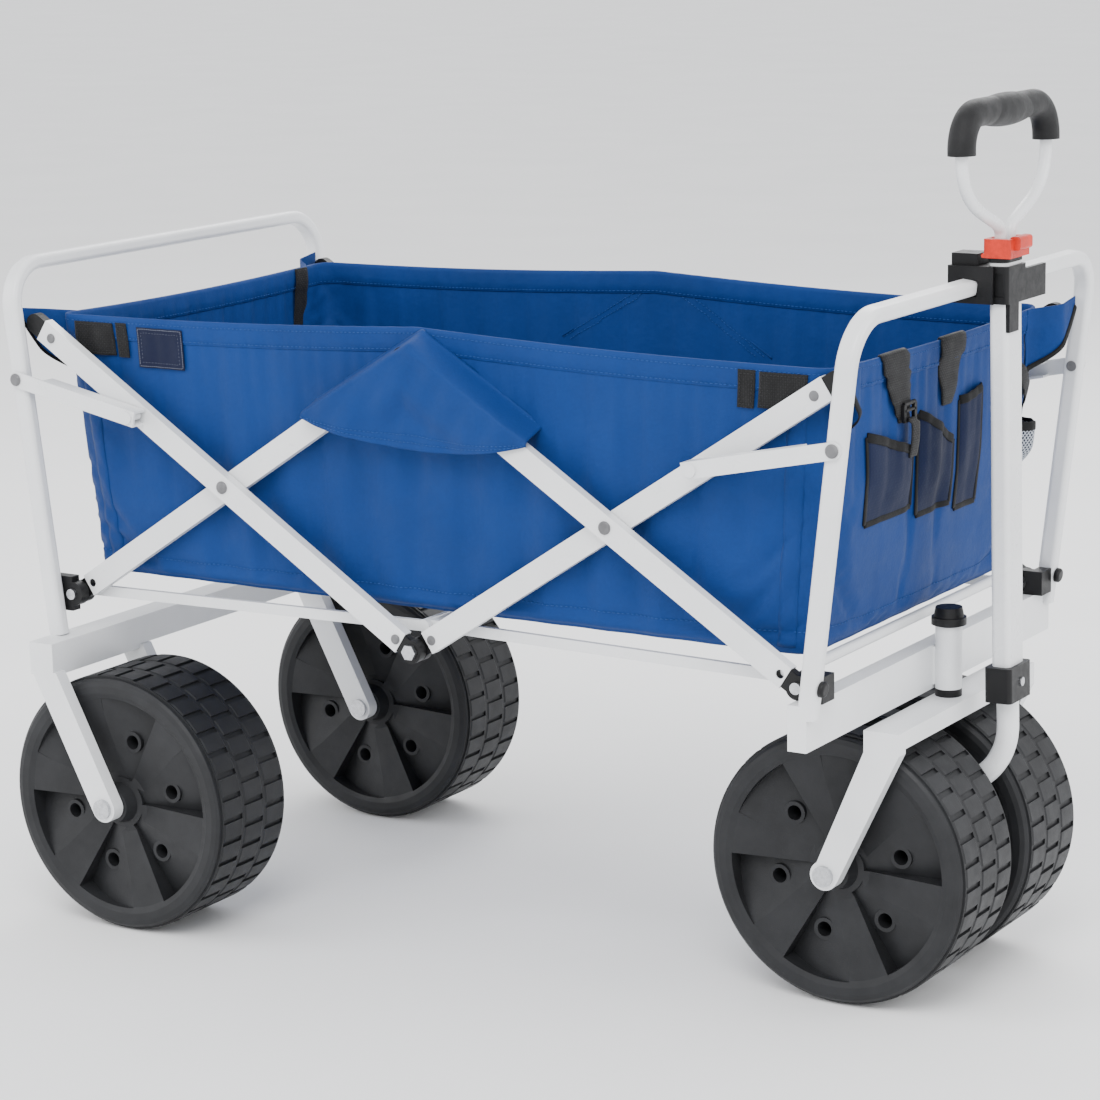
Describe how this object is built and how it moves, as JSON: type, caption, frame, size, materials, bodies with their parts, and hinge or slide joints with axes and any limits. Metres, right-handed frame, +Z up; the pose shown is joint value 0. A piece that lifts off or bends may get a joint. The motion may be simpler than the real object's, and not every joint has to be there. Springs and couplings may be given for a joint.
{
  "type": "folding beach cart",
  "caption": "Collapsible four-wheel beach cart: fabric tub in a scissor-folding tube frame with end hoops, wide lugged wheels and a steered pull handle.",
  "frame": {"origin": "on the floor, under the middle of the open cart's bounding box", "axes": "+X forward to the pull handle, +Y to the cart's left, +Z up"},
  "size_m": [0.9607, 0.583, 0.8106],
  "materials": {
    "frame_paint": "satin powder coat, cool off-white",
    "bar_paint": "satin powder coat on thin tube",
    "black_plastic": "moulded, fine texture",
    "black_rivet": "black oxide",
    "bright_metal": "zinc plated",
    "handle_metal": "satin powder coat",
    "wheel": "dark grey moulded plastic, satin",
    "red_plastic": "moulded, semi-gloss",
    "foam": "soft foam, fine matt texture",
    "blue_cloth": "coated plain-weave polyester",
    "mesh_cloth": "open mesh, dark navy",
    "black_web": "ribbed webbing",
    "badge_cloth": "stitched plain patch"
  },
  "bodies": {
    "rear_frame": {"rear_hoop": "frame_paint", "rear_beam": "frame_paint", "rear_forks": "frame_paint", "rear_brackets": "black_plastic", "rear_pivot_bolts": "bright_metal", "rear_cross_tube": "frame_paint", "rear_axles": "bright_metal", "rear_strut_pins": "black_rivet"},
    "wheel_rear_near": {"rear_wheel_near": "wheel"},
    "wheel_rear_far": {"rear_wheel_far": "wheel"},
    "lever_b": {"bars_b": "bar_paint", "bar_b_ends": "black_plastic", "bar_b_rivets": "black_rivet"},
    "lever_a": {"bars_a": "bar_paint", "bar_a_ends": "black_plastic", "bar_a_rivets": "black_rivet"},
    "lever_c": {"bars_c": "bar_paint", "bar_c_ends": "black_plastic", "bar_c_rivets": "black_rivet", "centre_bolts": "bright_metal"},
    "lever_d": {"bars_d": "bar_paint", "bar_d_ends": "black_plastic", "bar_d_rivets": "black_rivet", "top_bolts": "bright_metal"},
    "front_frame": {"front_hoop": "frame_paint", "front_beam": "frame_paint", "kingpin_post": "frame_paint", "front_brackets": "black_plastic", "front_pivot_bolts": "bright_metal", "front_cross_tube": "frame_paint", "front_strut_pins": "black_rivet", "handle_clip": "black_plastic"},
    "fork": {"front_fork": "frame_paint", "front_axle": "bright_metal", "kingpin": "bright_metal", "kingpin_cap": "black_plastic", "kingpin_washer": "black_plastic"},
    "wheel_front_near": {"front_wheel_near": "wheel"},
    "wheel_front_far": {"front_wheel_far": "wheel"},
    "handle_lower": {"handle_stem": "handle_metal", "handle_collar": "black_plastic", "collar_rivet": "bright_metal", "handle_tube": "handle_metal", "handle_cap": "black_plastic", "handle_tongue": "black_plastic"},
    "handle_upper": {"handle_rods": "bright_metal", "handle_grip": "foam"},
    "latch": {"latch_lever": "red_plastic"},
    "strut_rear": {"rear_struts": "bar_paint"},
    "strut_front": {"front_struts": "bar_paint"},
    "rails_rear": {"rear_rails": "bar_paint", "floor_mat_rear": "blue_cloth"},
    "rails_front": {"front_rails": "bar_paint", "floor_mat_front": "blue_cloth"},
    "tub_body": {"tub": "blue_cloth", "centre_flaps": "blue_cloth", "corner_patches": "black_web", "side_badge": "badge_cloth", "front_pockets": "mesh_cloth", "rim_straps": "black_web"}
  },
  "joints": [
    {"name": "fold", "type": "hinge", "parent": "rear_frame", "child": "lever_b", "pos_m": [-0.41445, 0, 0.32383], "axis": [0, -1, 0], "range_deg": [0, 38], "deforming": ["tub", "centre_flaps", "corner_patches", "side_badge", "front_pockets", "rim_straps", "floor_mat_rear", "floor_mat_front"]},
    {"name": "fold_a", "type": "hinge", "parent": "lever_b", "child": "lever_a", "pos_m": [-0.22696, 0, 0.44512], "axis": [0, -1, 0], "range_deg": [-76.5, 0.5]},
    {"name": "fold_c", "type": "hinge", "parent": "lever_a", "child": "lever_c", "pos_m": [-0.0184, 0, 0.3102], "axis": [0, -1, 0], "range_deg": [-0.5, 76.5]},
    {"name": "fold_d", "type": "hinge", "parent": "lever_c", "child": "lever_d", "pos_m": [0.19016, 0, 0.44512], "axis": [0, -1, 0], "range_deg": [-76.5, 0.5]},
    {"name": "fold_front", "type": "hinge", "parent": "lever_d", "child": "front_frame", "pos_m": [0.37765, 0, 0.32383], "axis": [0, -1, 0], "range_deg": [-0.5, 38.5]},
    {"name": "strut_rear_turn", "type": "hinge", "parent": "rear_frame", "child": "strut_rear", "pos_m": [-0.4573, 0, 0.5342], "axis": [0, -1, 0], "range_deg": [-0.5, 66]},
    {"name": "strut_front_turn", "type": "hinge", "parent": "front_frame", "child": "strut_front", "pos_m": [0.4205, 0, 0.5342], "axis": [0, -1, 0], "range_deg": [-66, 0.5]},
    {"name": "rail_rear_turn", "type": "hinge", "parent": "rear_frame", "child": "rails_rear", "pos_m": [-0.41445, 0, 0.32383], "axis": [0, -1, 0], "range_deg": [-0.5, 67]},
    {"name": "rail_front_turn", "type": "hinge", "parent": "front_frame", "child": "rails_front", "pos_m": [0.37765, 0, 0.32383], "axis": [0, -1, 0], "range_deg": [-67, 0.5]},
    {"name": "tub_lift", "type": "slide", "parent": "rear_frame", "child": "tub_body", "axis": [0, 0, 1], "range_m": [-0.001, 0.19]},
    {"name": "steer", "type": "hinge", "parent": "front_frame", "child": "fork", "pos_m": [0.4069, 0, 0.302], "axis": [0, 0, 1], "range_deg": [-18, 18], "deforming": ["handle_clip"]},
    {"name": "handle_tilt", "type": "hinge", "parent": "fork", "child": "handle_lower", "pos_m": [0.3543, 0, 0.127], "axis": [0, 1, 0], "range_deg": [0, 75], "deforming": ["handle_clip"]},
    {"name": "latch_lift", "type": "hinge", "parent": "handle_lower", "child": "latch", "pos_m": [0.44702, 0, 0.6703], "axis": [0, -1, 0], "range_deg": [0, 8], "stiffness_Nm_per_rad": 0.05, "springref_deg": -17.19},
    {"name": "handle_slide", "type": "slide", "parent": "handle_lower", "child": "handle_upper", "axis": [-0.0166, 0, 0.9999], "range_m": [0, 0.23]},
    {"name": "spin_rear_near", "type": "hinge", "parent": "rear_frame", "child": "wheel_rear_near", "pos_m": [-0.3504, -0.2146, 0.127], "axis": [0, 1, 0], "continuous": true},
    {"name": "spin_rear_far", "type": "hinge", "parent": "rear_frame", "child": "wheel_rear_far", "pos_m": [-0.3504, 0.2146, 0.127], "axis": [0, 1, 0], "continuous": true},
    {"name": "spin_front_near", "type": "hinge", "parent": "fork", "child": "wheel_front_near", "pos_m": [0.3543, -0.0714, 0.127], "axis": [0, 1, 0], "continuous": true},
    {"name": "spin_front_far", "type": "hinge", "parent": "fork", "child": "wheel_front_far", "pos_m": [0.3543, 0.0714, 0.127], "axis": [0, 1, 0], "continuous": true}
  ],
  "couplings": [
    {"joint": "fold_a", "follows": "fold", "ratio": -2},
    {"joint": "fold_c", "follows": "fold", "ratio": 2},
    {"joint": "fold_d", "follows": "fold", "ratio": -2},
    {"joint": "fold_front", "follows": "fold", "ratio": 1},
    {"joint": "strut_rear_turn", "follows": "fold", "ratio": 1.721},
    {"joint": "strut_front_turn", "follows": "fold", "ratio": -1.721},
    {"joint": "rail_rear_turn", "follows": "fold", "ratio": 1.741},
    {"joint": "rail_front_turn", "follows": "fold", "ratio": -1.741},
    {"joint": "tub_lift", "follows": "fold", "m_per_rad": 0.28196}
  ]
}
